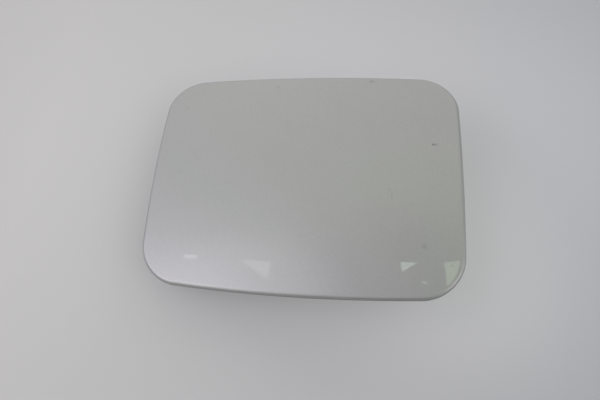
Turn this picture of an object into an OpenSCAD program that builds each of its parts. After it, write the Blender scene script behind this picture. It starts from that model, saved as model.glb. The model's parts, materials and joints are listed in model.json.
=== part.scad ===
// Car fuel door: a crowned, hemmed steel flap on a two-eared hinge bracket, with its latch striker,
// rubber bumpers and a moulded cradle for the filler cap.
// The bracket stands on its mounting face and the closed flap leans on the foot of its striker.
// The origin is the middle of the two bolt holes, on the mounting face. +Z is the normal of that
// face, +Y runs along the hinge pin and +X points to the hinge edge of the flap.

/* [Door outline] */
// Width of the door between its two ends, without their bow
door_w = 165; // [150:1:190]
// Height of the door between its two long sides, without their bow
door_h = 122; // [112:1:150]
// Radius of the four corners
corner_r = 20; // [18:0.5:28]
// How far each end bows outwards
end_bow = 1.2; // [0:0.1:3]
// How far the upper side bows outwards
upper_bow = 2.8; // [0:0.1:6]
// How far the lower side bows outwards
lower_bow = 4.3; // [0:0.1:6]
// Lean of the two ends, in degrees
end_lean = 2.2; // [0:0.1:4]
// Radius of the crown along the width
crown_long_r = 2500; // [1500:100:6000]
// Radius of the crown along the height
crown_high_r = 750; // [600:25:2000]

/* [Outer skin] */
// Thickness of the outer skin
skin_t = 0.8; // [0.6:0.05:1.2]
// Width of the rolled edge, across the face
roll_w = 1.9; // [1.6:0.1:2.4]
// Outer radius of the fold under the rolled edge
fold_r = 1.9; // [1.7:0.05:2.2]
// Distance from the door's edge to where the hem closes on the inner panel
hem_close = 4.4; // [4:0.1:5]
// Distance from the door's edge to the end of the hem
hem_w = 7; // [6:0.5:9]

/* [Inner panel] */
// Thickness of the inner panel
inner_t = 0.7; // [0.5:0.05:1]
// Distance from the door's edge to the end of the flange that the hem holds
flange_inset = 2.6; // [2.4:0.1:3.4]
// Distance from the door's edge to the end of the rim
rim_w = 10; // [9.5:0.1:11]
// Width of the slope from the rim down to the channel
step_w = 5; // [4:0.1:6]
// Depth of the channel behind the middle of the outer face
channel_depth = 8.5; // [7.5:0.1:10]
// Depth of the raised middle behind the middle of the outer face
island_depth = 5; // [4:0.1:6]
// Width of the raised middle
island_w = 80; // [72:1:84]
// Height of the raised middle
island_h = 64; // [60:1:68]
// Corner radius of the raised middle
island_r = 18; // [12:1:24]
// Width of the slope round the raised middle
island_step = 4; // [3:0.1:5]
// Distance from the middle of the door to the middle of the raised part, towards the free edge
island_shift = 10; // [6:0.5:12]
// Radius of the drain holes in the channel
drain_r = 3; // [2:0.25:3.5]
// Distance from the middle of the raised part to the drain holes, along the width
drain_x = 28; // [20:1:34]
// Radius of the mastic pads
pad_r = 6; // [4:0.5:7]
// Distance from the sides of the raised middle to the middle of the corner pads
pad_inset = 11; // [9:0.5:14]

/* [Hinge bracket] */
// Thickness of the bracket
bracket_t = 2; // [1.5:0.1:3]
// Distance between the two bolt holes
bolt_pitch = 32; // [28:1:36]
// Radius of the bolt holes
bolt_hole_r = 3.3; // [2.7:0.1:4.3]
// Metal left round each bolt hole
bolt_land = 8; // [6:0.5:10]
// Distance from the bolt holes to the pin
pin_reach = 34; // [32:1:42]
// Height of the pin above the mounting face
pin_h = 26; // [24:0.5:32]
// Distance between the outer faces of the ears
bracket_w = 40; // [36:1:46]
// Length of each ear along the base
ear_len = 27; // [24:1:28]
// Metal left round the pin in each ear
ear_land = 3.2; // [2.5:0.1:4]
// Width of the stop tab
stop_w = 10; // [8:0.5:14]
// Inside radius of the bends
bend_r = 2; // [1:0.25:3]

/* [Pin and bushes] */
// Radius of the hinge pin
pin_r = 3; // [2.5:0.1:3.5]
// Radius of the pin's head
pin_head_r = 5; // [4.6:0.1:6]
// Thickness of the pin's head
pin_head_t = 2; // [1.5:0.1:3]
// Length of pin beyond its clip
pin_tail = 1.5; // [1:0.1:3]
// Depth of the pin's groove for its clip
groove_depth = 0.6; // [0.4:0.05:0.8]
// Wall of the bushes
bush_wall = 1.2; // [1:0.1:1.6]
// Radius of the bushes' flanges
bush_flange_r = 6.5; // [6:0.1:7]
// Thickness of the bushes' flanges
bush_flange_t = 1.1; // [0.8:0.1:1.5]
// Thickness of the pin's clip
clip_t = 0.8; // [0.6:0.1:1]
// How far the clip stands out from the pin
clip_rim = 2.2; // [1.8:0.1:2.6]

/* [Torsion spring] */
// Diameter of the spring wire
wire_d = 1.4; // [1:0.1:1.6]
// Whole turns in the coil
coil_turns = 5; // [3:1:7]
// Gap between neighbouring turns
coil_gap = 0.2; // [0.1:0.1:0.5]
// Wall of the sleeve inside the coil
sleeve_wall = 1.2; // [0.8:0.1:1.5]
// Distance past the pin at which the spring's lower leg bears on the base
base_leg = 1; // [0:0.25:3]
// Distance past the pin at which the spring's upper leg bears under the arm's lip
lip_leg = 3.5; // [2.5:0.25:4]
// Length of the bent ends of the spring's legs
leg_foot = 3.5; // [2:0.25:4]

/* [Hinge arm] */
// Thickness of the arm
arm_t = 1.6; // [1.2:0.1:2]
// Depth of the pin behind the middle of the outer face
pin_depth = 21; // [20:0.5:25]
// Distance from the pin to the hinge edge, across the door
pin_inset = 14.4; // [13:0.2:18]
// Length of the arm's web on the free side of the pin
web_len = 32; // [30:0.5:33]
// Length of the arm's lip on the hinge side of the pin
lip_len = 8; // [7:0.5:9]
// Metal left round the bush in each ear of the arm
arm_land = 3.2; // [2.5:0.1:4]
// Distance from the end of the web to the first screw
screw_edge = 5; // [4.5:0.25:6]
// Distance between the rows of screws, along the web
screw_row = 10; // [9:0.5:11]
// Distance between the two screws of the second row
screw_pitch = 26; // [24:1:28]
// How far the door opens, in degrees
open_angle = 100; // [92:1:104]

/* [Screws and rivets] */
// Radius of the screws
screw_r = 2.5; // [2:0.25:3]
// Radius of the rivets
rivet_r = 2; // [1.5:0.1:2.4]
// Height of the hexagonal screw heads
screw_head_h = 3.2; // [2.5:0.1:4]
// Height of the weld nuts
nut_h = 4; // [3:0.1:4.4]

/* [Latch striker] */
// Distance from the striker's tab to its rivets
rivet_back = 8; // [7:0.5:8.5]
// Distance between the striker's rivets
rivet_pitch = 15; // [12:0.5:16]
// Thickness of the striker
striker_t = 1.6; // [1.2:0.1:2]
// Distance from the free edge to the striker's tab
striker_inset = 18.2; // [17.5:0.1:19]
// Width of the striker
striker_w = 24; // [20:1:28]
// Length of the striker's foot on the inner panel
striker_foot = 13; // [12:0.5:14]
// How far the striker's tip reaches below the pin, square to the door
striker_drop = 2.5; // [1:0.1:4]
// Width of the latch window
window_w = 12; // [9:0.5:14]
// Height of the latch window
window_h = 7; // [6:0.1:8]
// Metal between the window and the tip
window_land = 2.6; // [2:0.1:3.5]

/* [Rubber and mouldings] */
// Height of the bumpers under the inner panel
bumper_h = 7; // [5:0.5:8]
// Radius of the bumpers
bumper_r = 5.5; // [4.5:0.5:6.5]
// Radius of the bumpers' necks, where they pass through the inner panel
bumper_neck_r = 3; // [2:0.25:3.5]
// Distance from the free edge to the bumpers
bumper_inset = 24; // [22:0.5:26]
// Distance from the long sides to the bumpers
bumper_side = 23; // [21:0.5:25]
// Rubber over the end of the stop tab
buffer_t = 3; // [2:0.1:4]
// How far the stop buffer reaches down the tab
buffer_grip = 6; // [4:0.5:8]
// Wall of the stop buffer
buffer_wall = 2; // [1.5:0.1:2.5]
// Radius of the filler cap that the cradle takes
cap_r = 17; // [15:0.5:18]
// Height of the cradle's wall
cradle_h = 10; // [8:0.5:12]
// Wall of the cradle
cradle_wall = 2; // [1.6:0.1:2.4]
// Thickness of the cradle's base
cradle_base = 2; // [1.5:0.1:2.5]
// Sweep of the cradle's wall, in degrees
cradle_sweep = 230; // [200:5:250]
// Radius of the hole in the cradle's base
cradle_hole_r = 7; // [4:0.5:8]
// Distance between the cradle's two rivets
holder_pitch = 50; // [48:1:54]

/* [Clearances] */
// Gap between pressed sheets, and between what is riveted or bolted together
seat_gap = 0.05; // [0.02:0.01:0.1]
// Gap on each side of the inner panel's rim in the hem
hem_gap = 0.1; // [0.05:0.01:0.2]
// Radial clearance of the pin in the bushes
run_fit = 0.05; // [0.02:0.01:0.1]
// Radial clearance of what is pressed into a hole
press_fit = 0.02; // [0.01:0.01:0.05]
// Gap beside a part that turns
side_gap = 0.2; // [0.1:0.05:0.4]
// Clearance of a screw or rivet in its hole
hole_gap = 0.25; // [0.15:0.05:0.5]

/* [Hidden] */
$fn = 48;

// Steps of the lofted sheets
corner_steps = 8;
side_points = 8;
end_points = 6;
roll_steps = 5;
fold_steps = 4;
close_steps = 3;
slope_steps = 4;
// Ring that the face is scaled down from, and its scaled copies
face_inset = 12;
face_scales = [0.2, 0.4, 0.6, 0.8];

// Closed hem, where the skin holds the flange of the inner panel
edge_t = 2 * skin_t + inner_t + 2 * hem_gap;
rim_top = -skin_t - hem_gap;

// Heights behind the middle of the outer face
channel_under = -channel_depth - inner_t;
island_under = -island_depth - inner_t;

// Place of the door's middle from the pin
middle_x = pin_inset - door_w / 2 - end_bow;

// Striker's tab, from the pin, and the tilt at which its tip meets the mounting plane
tab_x = pin_inset - door_w - 2 * end_bow + striker_inset;
closed_tilt = asin(pin_h / norm([tab_x, striker_drop])) - atan2(striker_drop, -tab_x);

// Arm's web, from the pin
web_top = pin_depth + channel_under - seat_gap;
web_under = web_top - arm_t;

// Hinge stack along the pin
bracket_y = bracket_w / 2;
flange_y = bracket_y + side_gap / 2;
arm_y = flange_y + bush_flange_t;
bush_end = arm_y + arm_t + side_gap;
head_y = bush_end + side_gap;
bush_r = pin_r + run_fit + bush_wall;
ear_r = pin_r + ear_land;
arm_ear_r = bush_r + arm_land;

// Base of the bracket
base_edge = bolt_hole_r + bolt_land;
ear_x = pin_reach - ear_len * 0.74;
relief = 1.5;

// Turn of the arm from level to fully open, and where its lip then lands
stop_turn = open_angle - closed_tilt;
lip_x = (web_top - arm_t / 2) * sin(stop_turn) + lip_len * cos(stop_turn);
lip_low = min(web_top * cos(stop_turn), web_under * cos(stop_turn)) - lip_len * sin(stop_turn);
stop_x = pin_reach + lip_x;
buffer_top = pin_h + lip_low - side_gap;
stop_h = buffer_top - buffer_t;

// Places of the fasteners, from the pin
first_screw = screw_edge - web_len;
arm_screw_places = [
    [first_screw, 0],
    [first_screw + screw_row, screw_pitch / 2],
    [first_screw + screw_row, -screw_pitch / 2]
];
rivet_x = tab_x + rivet_back;

// Places on the inner panel, from the middle of the door
drain_y = (door_h / 2 - rim_w - step_w + island_h / 2 + island_step) / 2;
drain_places = [for (x = [-drain_x - island_shift, drain_x - island_shift], s = [-1, 1]) [x, s * drain_y]];
pad_x = island_w / 2 - pad_inset;
pad_y = island_h / 2 - pad_inset;
mastic_places = concat(
    [[-island_shift, 0]],
    [for (x = [-pad_x, pad_x], s = [-1, 1]) [x - island_shift, s * pad_y]]
);
bumper_x = -door_w / 2 + bumper_inset;
bumper_y = door_h / 2 - bumper_side;

// Spring
coil_r = pin_r + run_fit + sleeve_wall + side_gap + wire_d / 2;
coil_pitch = wire_d + coil_gap;
coil_steps = 18;
wire_sides = 8;

// Points on an arc about a centre
function arc(centre, r, from, to, steps) =
    [for (i = [0:steps]) centre + r * [cos(from + (to - from) * i / steps), sin(from + (to - from) * i / steps)]];

function unit(v) = v / norm(v);

// One corner of an outline, rounded with radius r
function round_corner(before, p, after, r, steps) =
    let (
        u = unit(before - p),
        v = unit(after - p),
        half = acos(u * v) / 2,
        centre = p + unit(u + v) * r / sin(half),
        first = p + u * r / tan(half) - centre,
        last = p + v * r / tan(half) - centre,
        from = atan2(first.y, first.x),
        turn = (atan2(last.y, last.x) - from + 540) % 360 - 180
    )
    arc(centre, r, from, from + turn, steps);

// An outline with rounded corners, from a list of [x, y, radius]
function rounded(corners, steps = 6) =
    let (n = len(corners))
    [
        for (i = [0:n - 1])
        let (
            before = corners[(i + n - 1) % n],
            p = corners[i],
            after = corners[(i + 1) % n]
        )
        each p[2] == 0
            ? [[p.x, p.y]]
            : round_corner([before.x, before.y], [p.x, p.y], [after.x, after.y], p[2], steps)
    ];

// A rectangle with rounded corners
function rounded_box(low, high, r) =
    rounded([[low.x, low.y, r], [high.x, low.y, r], [high.x, high.y, r], [low.x, high.y, r]]);

// A ring with the same number of points whatever its size: rounded corners and evenly spaced sides
function ring_corner(w, h, r, k) =
    let (
        sx = (k == 0 || k == 3) ? 1 : -1,
        sy = k < 2 ? 1 : -1
    )
    arc([sx * (w / 2 - r), sy * (h / 2 - r)], r, 90 * k, 90 * k + 90, corner_steps);

function ring_side(a, b, count) =
    [for (i = [1:count]) a + (b - a) * i / (count + 1)];

function box_ring(w, h, r) =
    let (c = [for (k = [0:3]) ring_corner(w, h, r, k)])
    [
        for (k = [0:3])
        each concat(c[k], ring_side(c[k][corner_steps], c[(k + 1) % 4][0], k % 2 == 0 ? side_points : end_points))
    ];

// The door's outline: bowed sides and leaning ends
function bowed(p) =
    let (
        fx = 2 * p.x / door_w,
        fy = 2 * p.y / door_h,
        y = p.y + (fy > 0 ? upper_bow : lower_bow) * fy * (1 - fx * fx)
    )
    [p.x + end_bow * fx * (1 - fy * fy) - y * tan(end_lean), y];

function door_ring(inset) =
    [for (p = box_ring(door_w - 2 * inset, door_h - 2 * inset, corner_r - inset)) bowed(p)];

function scaled_ring(ring, s) = [for (p = ring) p * s];

// Depth of the crowned face at a point of the outline's plane
function crown(p) = -p.x * p.x / (2 * crown_long_r) - p.y * p.y / (2 * crown_high_r);

// A ring that follows the crown at a given depth
function on_crown(ring, depth) = [for (p = ring) [p.x, p.y, crown(p) + depth]];

// A ring at one level
function level(ring, z) = [for (p = ring) [p.x, p.y, z]];

// A ring part of the way from one ring to another
function between(a, b, t) = [for (i = [0:len(a) - 1]) a[i] * (1 - t) + b[i] * t];

function ease(t) = t * t * (3 - 2 * t);

// A closed solid between two end points, through rings that all have the same number of points
module loft(start, rings, end) {
    n = len(rings[0]);
    last = len(rings) - 1;
    points = [start, for (ring = rings) each ring, end];
    first_fan = [for (i = [0:n - 1]) [0, 1 + (i + 1) % n, 1 + i]];
    bands = [
        for (k = [0:last - 1], i = [0:n - 1])
        let (
            a = 1 + k * n + i,
            b = 1 + k * n + (i + 1) % n
        )
        each [[a, b, b + n], [a, b + n, a + n]]
    ];
    last_fan = [for (i = [0:n - 1]) [len(points) - 1, 1 + last * n + i, 1 + last * n + (i + 1) % n]];
    polyhedron(points = points, faces = concat(first_fan, bands, last_fan));
}

// Frames: the door turns about the pin, and the panel is measured from the middle of its outer face
module in_door() {
    translate([pin_reach, 0, pin_h])
        rotate([0, -closed_tilt, 0])
            children();
}

module in_panel() {
    in_door()
        translate([middle_x, 0, pin_depth])
            children();
}

// Lays a solid that was drawn along Z along Y, from its given end
module along_y(y) {
    translate([0, y, 0])
        rotate([-90, 0, 0])
            children();
}

// An outline of X and Z, as thick as given along Y and centred on it
module side_plate(outline, width) {
    translate([0, width / 2, 0])
        rotate([90, 0, 0])
            linear_extrude(width)
                polygon(outline);
}

// An outline of Y and Z, drawn out along X
module cross_plate(outline, from, to) {
    translate([from, 0, 0])
        rotate([90, 0, 90])
            linear_extrude(to - from)
                polygon(outline);
}

// A ring of the hem part of the way from its fold, where t is 0, to where it closes, where t is 1
function hem_ring(t, up) =
    on_crown(door_ring(fold_r + (hem_close - fold_r) * t), up - 2 * fold_r + (2 * fold_r - edge_t) * ease(t));

// Skin with a rolled edge and a hem that bulges at its fold and closes on the inner panel's flange
module outer_skin() {
    face = door_ring(face_inset);
    outside = concat(
        [for (s = face_scales) on_crown(scaled_ring(face, s), 0)],
        [on_crown(face, 0), on_crown(door_ring(face_inset / 2), 0)]
    );
    roll = [
        for (i = [0:roll_steps])
        let (a = 90 * i / roll_steps)
        on_crown(door_ring(roll_w * (1 - sin(a))), -fold_r * (1 - cos(a)))
    ];
    fold = [
        for (i = [1:fold_steps])
        let (a = 90 * i / fold_steps)
        on_crown(door_ring(fold_r * (1 - cos(a))), -fold_r * (1 + sin(a)))
    ];
    hem = [for (i = [1:close_steps]) hem_ring(i / close_steps, 0)];
    hem_end = [for (up = [0, skin_t]) on_crown(door_ring(hem_w), up - edge_t)];
    inner_hem = [for (i = [close_steps:-1:1]) hem_ring(i / close_steps, skin_t)];
    inner_fold = [
        for (i = [fold_steps:-1:1])
        let (a = 90 * i / fold_steps)
        on_crown(door_ring(fold_r - (fold_r - skin_t) * cos(a)), -fold_r - (fold_r - skin_t) * sin(a))
    ];
    inner_roll = [
        for (i = [fold_steps:-1:0])
        let (a = 90 * i / fold_steps)
        on_crown(door_ring(roll_w - (roll_w - skin_t) * sin(a)), -fold_r + (fold_r - skin_t) * cos(a))
    ];
    inside = concat(
        [on_crown(door_ring(face_inset / 2), -skin_t), on_crown(face, -skin_t)],
        [for (i = [len(face_scales) - 1:-1:0]) on_crown(scaled_ring(face, face_scales[i]), -skin_t)]
    );
    color("silver")
        in_panel()
            loft(
                [0, 0, 0],
                concat(outside, roll, fold, hem, hem_end, inner_hem, inner_fold, inner_roll, inside),
                [0, 0, -skin_t]
            );
}

// Outline of the inner panel's raised middle, grown by a given amount
function island_ring(grow) =
    [
        for (p = box_ring(island_w + 2 * grow, island_h + 2 * grow, island_r + grow))
        p - [island_shift, 0]
    ];

// Upper face of the inner panel from its middle to its edge, lowered by a given amount
function inner_rings(lower) =
    let (
        rim_end = on_crown(door_ring(rim_w), rim_top - lower),
        slope_end = level(door_ring(rim_w + step_w), -channel_depth - lower)
    )
    concat(
        [level(between(island_ring(0), scaled_ring(island_ring(0), 0), 0.5), -island_depth - lower)],
        [
            for (i = [0:slope_steps])
            let (t = i / slope_steps)
            level(
                island_ring(island_step * t),
                -island_depth - (channel_depth - island_depth) * ease(t) - lower
            )
        ],
        [
            for (i = [slope_steps:-1:0])
            let (
                t = i / slope_steps,
                ring = door_ring(rim_w + step_w * t)
            )
            [
                for (j = [0:len(ring) - 1])
                [
                    ring[j].x,
                    ring[j].y,
                    rim_end[j].z * (1 - ease(t)) + slope_end[j].z * ease(t)
                ]
            ]
        ],
        [on_crown(door_ring(flange_inset), rim_top - lower)]
    );

module inner_panel() {
    above = inner_rings(0);
    below = inner_rings(inner_t);
    last = len(below) - 1;
    deep = inner_t * 4;
    color("darkgray")
        in_panel()
            difference() {
                loft(
                    [0, 0, -island_depth],
                    concat(above, [for (i = [last:-1:0]) below[i]]),
                    [0, 0, island_under]
                );
                for (p = arm_screw_places)
                    translate([p.x - middle_x, p.y, channel_under - inner_t])
                        cylinder(r = screw_r + hole_gap, h = deep);
                for (s = [-1, 1])
                    translate([rivet_x - middle_x, s * rivet_pitch / 2, channel_under - inner_t])
                        cylinder(r = rivet_r + hole_gap, h = deep);
                for (s = [-1, 1])
                    translate([s * holder_pitch / 2 - island_shift, 0, island_under - inner_t])
                        cylinder(r = rivet_r + hole_gap, h = deep);
                for (s = [-1, 1])
                    translate([bumper_x, s * bumper_y, channel_under - inner_t])
                        cylinder(r = bumper_neck_r + press_fit, h = deep);
                for (p = drain_places)
                    translate([p.x, p.y, channel_under - inner_t])
                        cylinder(r = drain_r, h = deep);
            }
}

// Pads of mastic that stand on the raised middle and meet the back of the skin
module mastic_pads() {
    color("dimgray")
        in_panel()
            for (p = mastic_places) {
                high = min([for (s = [-1, 1], t = [-1, 1]) crown(p + pad_r * [s, t])]);
                pad_h = island_depth + high - skin_t - 2 * seat_gap;
                translate([p.x, p.y, -island_depth + seat_gap])
                    rotate_extrude()
                        polygon([[0, 0], [pad_r, 0], [pad_r * 0.94, pad_h / 2], [pad_r * 0.8, pad_h], [0, pad_h]]);
            }
}

// Section of a folded channel: a web with an ear bent down at each edge
function channel_section(half, top, bottom, t) =
    concat(
        [[-half, bottom]],
        arc([-half + bend_r + t, top - bend_r - t], bend_r + t, 180, 90, 6),
        arc([half - bend_r - t, top - bend_r - t], bend_r + t, 90, 0, 6),
        [[half, bottom], [half - t, bottom]],
        arc([half - t - bend_r, top - t - bend_r], bend_r, 0, 90, 6),
        arc([-half + t + bend_r, top - t - bend_r], bend_r, 90, 180, 6),
        [[-half + t, bottom]]
    );

module hinge_arm() {
    half = arm_y + arm_t;
    neck = 9;
    side = rounded([
        [-web_len, web_top + 1, 0],
        [-web_len, web_under - bend_r, 0.8],
        [-web_len + neck, web_under - bend_r, 4],
        [-arm_ear_r * 0.9, -arm_ear_r, arm_ear_r * 0.8],
        [arm_ear_r, -arm_ear_r, arm_ear_r * 0.95],
        [lip_len, web_under - bend_r, 2],
        [lip_len, web_top + 1, 0]
    ]);
    color("silver")
        in_door()
            difference() {
                intersection() {
                    cross_plate(channel_section(half, web_top, -2 * arm_ear_r, arm_t), -web_len, lip_len);
                    side_plate(side, 3 * half);
                }
                for (p = arm_screw_places)
                    translate([p.x, p.y, web_under - arm_t])
                        cylinder(r = screw_r + hole_gap, h = 3 * arm_t);
                along_y(-half - 1)
                    cylinder(r = bush_r + press_fit, h = 2 * half + 2);
            }
}

// A flanged screw whose head bears on a face at z = 0 and whose shank points up
module flanged_screw(r, shank) {
    head_r = r * 1.85;
    flange_r = r * 2.2;
    flange_t = 1;
    union() {
        rotate_extrude()
            polygon([
                [0, -flange_t - 0.5],
                [flange_r - 0.4, -flange_t],
                [flange_r, -flange_t + 0.3],
                [flange_r, 0],
                [r, 0],
                [r, shank - 0.5],
                [r - 0.5, shank],
                [0, shank]
            ]);
        translate([0, 0, -flange_t - screw_head_h])
            cylinder(r = head_r, h = screw_head_h + flange_t / 2, $fn = 6);
    }
}

module arm_screws() {
    shank = arm_t + inner_t + nut_h + 1 + 3 * seat_gap;
    color("darkgray")
        in_door()
            for (p = arm_screw_places)
                translate([p.x, p.y, web_under - seat_gap])
                    flanged_screw(screw_r, shank);
}

module weld_nuts() {
    color("dimgray")
        in_door()
            for (p = arm_screw_places)
                translate([p.x, p.y, pin_depth - channel_depth + seat_gap])
                    difference() {
                        cylinder(r = screw_r * 2, h = nut_h, $fn = 6);
                        translate([0, 0, -1])
                            cylinder(r = screw_r + press_fit, h = nut_h + 2);
                    }
}

// A flanged bush on the pin, its flange at the bracket's side
module flanged_bush() {
    color("ivory")
        rotate_extrude()
            polygon([
                [pin_r + run_fit, 0],
                [bush_flange_r, 0],
                [bush_flange_r, bush_flange_t - seat_gap],
                [bush_r, bush_flange_t - seat_gap],
                [bush_r, bush_end - flange_y],
                [pin_r + run_fit, bush_end - flange_y]
            ]);
}

module upper_bush() {
    in_door()
        along_y(flange_y)
            flanged_bush();
}

module lower_bush() {
    in_door()
        mirror([0, 1, 0])
            along_y(flange_y)
                flanged_bush();
}

// Striker: a foot under the inner panel and a tab with the latch's window
module latch_striker() {
    top = pin_depth + channel_under - seat_gap;
    tab_end = -striker_drop;
    bend = bend_r / 2;
    fold = concat(
        [[tab_x, tab_end]],
        arc([tab_x + bend + striker_t, top - bend - striker_t], bend + striker_t, 180, 90, 6),
        [[tab_x + striker_foot, top], [tab_x + striker_foot, top - striker_t]],
        arc([tab_x + bend + striker_t, top - bend - striker_t], bend, 90, 180, 6),
        [[tab_x + striker_t, tab_end]]
    );
    half = striker_w / 2;
    tip = window_w / 2 + window_land + 1;
    shape = rounded([
        [-half, top + 1, 0],
        [-half, top - 5, 2],
        [-tip, tab_end + window_h / 2, 3],
        [-tip, tab_end, 2],
        [tip, tab_end, 2],
        [tip, tab_end + window_h / 2, 3],
        [half, top - 5, 2],
        [half, top + 1, 0]
    ]);
    window = rounded_box(
        [-window_w / 2, tab_end + window_land],
        [window_w / 2, tab_end + window_land + window_h],
        1.5
    );
    color("silver")
        in_door()
            difference() {
                intersection() {
                    side_plate(fold, striker_w + 2);
                    cross_plate(shape, tab_x - 1, tab_x + striker_foot + 1);
                }
                cross_plate(window, tab_x - 1, tab_x + striker_t + 1);
                for (s = [-1, 1])
                    translate([rivet_x, s * rivet_pitch / 2, top - 2 * striker_t])
                        cylinder(r = rivet_r + hole_gap, h = 3 * striker_t);
            }
}

// A rivet through a stack of the given grip, its head below z = 0 and its formed end above
module rivet(grip) {
    head_r = rivet_r * 1.9;
    head_h = rivet_r * 0.6;
    rotate_extrude()
        polygon(concat(
            [[0, -head_h]],
            [[head_r * 0.6, -head_h * 0.85], [head_r * 0.9, -head_h * 0.4], [head_r, 0]],
            [[rivet_r, 0], [rivet_r, grip]],
            [[head_r * 0.85, grip], [head_r * 0.75, grip + head_h * 0.6], [0, grip + head_h * 0.8]]
        ));
}

module striker_rivets() {
    grip = striker_t + inner_t + 3 * seat_gap;
    color("gray")
        in_door()
            for (s = [-1, 1])
                translate([rivet_x, s * rivet_pitch / 2, pin_depth + channel_under - striker_t - 2 * seat_gap])
                    rivet(grip);
}

// A rubber bumper: a tapered head, a neck in the inner panel and a mushroom that holds it there
module bumper() {
    head = bumper_r;
    neck = bumper_neck_r;
    color("dimgray")
        rotate_extrude()
            polygon([
                [0, -bumper_h],
                [head * 0.45, -bumper_h],
                [head * 0.62, -bumper_h + 0.6],
                [head * 0.72, -bumper_h * 0.45],
                [head, -1.6],
                [head, -seat_gap],
                [neck, -seat_gap],
                [neck, inner_t + seat_gap],
                [neck + 1.2, inner_t + seat_gap],
                [neck + 1, inner_t + 1.2],
                [neck * 0.5, inner_t + 3],
                [0, inner_t + 3]
            ]);
}

module upper_bumper() {
    in_panel()
        translate([bumper_x, bumper_y, channel_under])
            bumper();
}

module lower_bumper() {
    in_panel()
        translate([bumper_x, -bumper_y, channel_under])
            bumper();
}

// Cradle for the filler cap: a base on the raised middle and a wall, open at its upper side, with a
// lip that the cap slides under
module cap_holder() {
    lip = 1.6;
    outer = cap_r + cradle_wall;
    half_len = outer + 2;
    wing = holder_pitch / 2 + rivet_r * 1.9 + 1.5;
    wing_w = 7;
    base = rounded([
        [-outer, -half_len, 6],
        [outer, -half_len, 6],
        [outer + 1, -wing_w, 2],
        [wing, -wing_w, 5],
        [wing, wing_w, 5],
        [outer + 1, wing_w, 2],
        [outer, half_len, 6],
        [-outer, half_len, 6],
        [-outer - 1, wing_w, 2],
        [-wing, wing_w, 5],
        [-wing, -wing_w, 5],
        [-outer - 1, -wing_w, 2]
    ]);
    color("dimgray")
        in_panel()
            translate([-island_shift, 0, island_under - seat_gap])
                mirror([0, 0, 1])
                    difference() {
                        union() {
                            linear_extrude(cradle_base)
                                polygon(base);
                            rotate([0, 0, -90 - cradle_sweep / 2])
                                rotate_extrude(angle = cradle_sweep)
                                    polygon([
                                        [cap_r, cradle_base / 2],
                                        [outer, cradle_base / 2],
                                        [outer, cradle_base + cradle_h],
                                        [cap_r - lip, cradle_base + cradle_h],
                                        [cap_r - lip, cradle_base + cradle_h - lip],
                                        [cap_r, cradle_base + cradle_h - 2 * lip]
                                    ]);
                        }
                        translate([0, 0, -1])
                            cylinder(r = cradle_hole_r, h = cradle_base + 2);
                        for (s = [-1, 1])
                            translate([s * holder_pitch / 2, 0, -1])
                                cylinder(r = rivet_r + hole_gap, h = cradle_base + 2);
                    }
}

module holder_rivets() {
    grip = cradle_base + inner_t + 3 * seat_gap;
    color("gray")
        in_panel()
            for (s = [-1, 1])
                translate([s * holder_pitch / 2 - island_shift, 0, island_under - cradle_base - 2 * seat_gap])
                    rivet(grip);
}

// Bracket: a base with two bolt holes, ears bent up at its sides and a stop tab at its end
module hinge_bracket() {
    half = bracket_y;
    foot_half = bolt_pitch / 2 + base_edge;
    base_end = stop_x + bracket_t / 2;
    foot = rounded_box([-base_edge, -foot_half], [ear_x - relief, foot_half], 6);
    section = [for (p = channel_section(half, 0, -2 * pin_h, bracket_t)) [p.x, -p.y]];
    ear_low = bracket_t + bend_r;
    side = rounded([
        [ear_x, -1, 0],
        [ear_x, ear_low, 2],
        [pin_reach - ear_r * 1.02, pin_h + ear_r, ear_r * 0.9],
        [pin_reach + ear_r * 1.02, pin_h + ear_r, ear_r * 0.9],
        [ear_x + ear_len, ear_low, 3],
        [ear_x + ear_len, -1, 0]
    ]);
    stop = concat(
        [[ear_x - 2 * relief, 0]],
        arc([base_end - bend_r - bracket_t, bend_r + bracket_t], bend_r + bracket_t, -90, 0, 6),
        [[base_end, stop_h], [base_end - bracket_t, stop_h]],
        arc([base_end - bend_r - bracket_t, bend_r + bracket_t], bend_r, 0, -90, 6),
        [[ear_x - 2 * relief, bracket_t]]
    );
    color("silver")
        difference() {
            union() {
                linear_extrude(bracket_t)
                    polygon(foot);
                translate([ear_x - 2 * relief, -half + bracket_t + bend_r, 0])
                    cube([4 * relief, bracket_w - 2 * (bracket_t + bend_r), bracket_t]);
                intersection() {
                    cross_plate(section, ear_x, ear_x + ear_len);
                    side_plate(side, 2 * bracket_w);
                }
                side_plate(stop, stop_w);
            }
            for (s = [-1, 1])
                translate([0, s * bolt_pitch / 2, -1])
                    cylinder(r = bolt_hole_r, h = bracket_t + 2);
            translate([pin_reach, 0, pin_h])
                along_y(-half - 1)
                    cylinder(r = pin_r + press_fit, h = bracket_w + 2);
        }
}

module hinge_pin() {
    clip_y = head_y + clip_t + side_gap / 2;
    color("gainsboro")
        translate([pin_reach, 0, pin_h])
            along_y(0)
                rotate_extrude()
                    polygon([
                        [0, -head_y - pin_head_t],
                        [pin_head_r - 0.6, -head_y - pin_head_t],
                        [pin_head_r, -head_y - pin_head_t + 0.6],
                        [pin_head_r, -head_y],
                        [pin_r, -head_y],
                        [pin_r, head_y],
                        [pin_r - groove_depth, head_y],
                        [pin_r - groove_depth, clip_y],
                        [pin_r, clip_y],
                        [pin_r, clip_y + pin_tail - 0.5],
                        [pin_r - 0.5, clip_y + pin_tail],
                        [0, clip_y + pin_tail]
                    ]);
}

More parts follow.
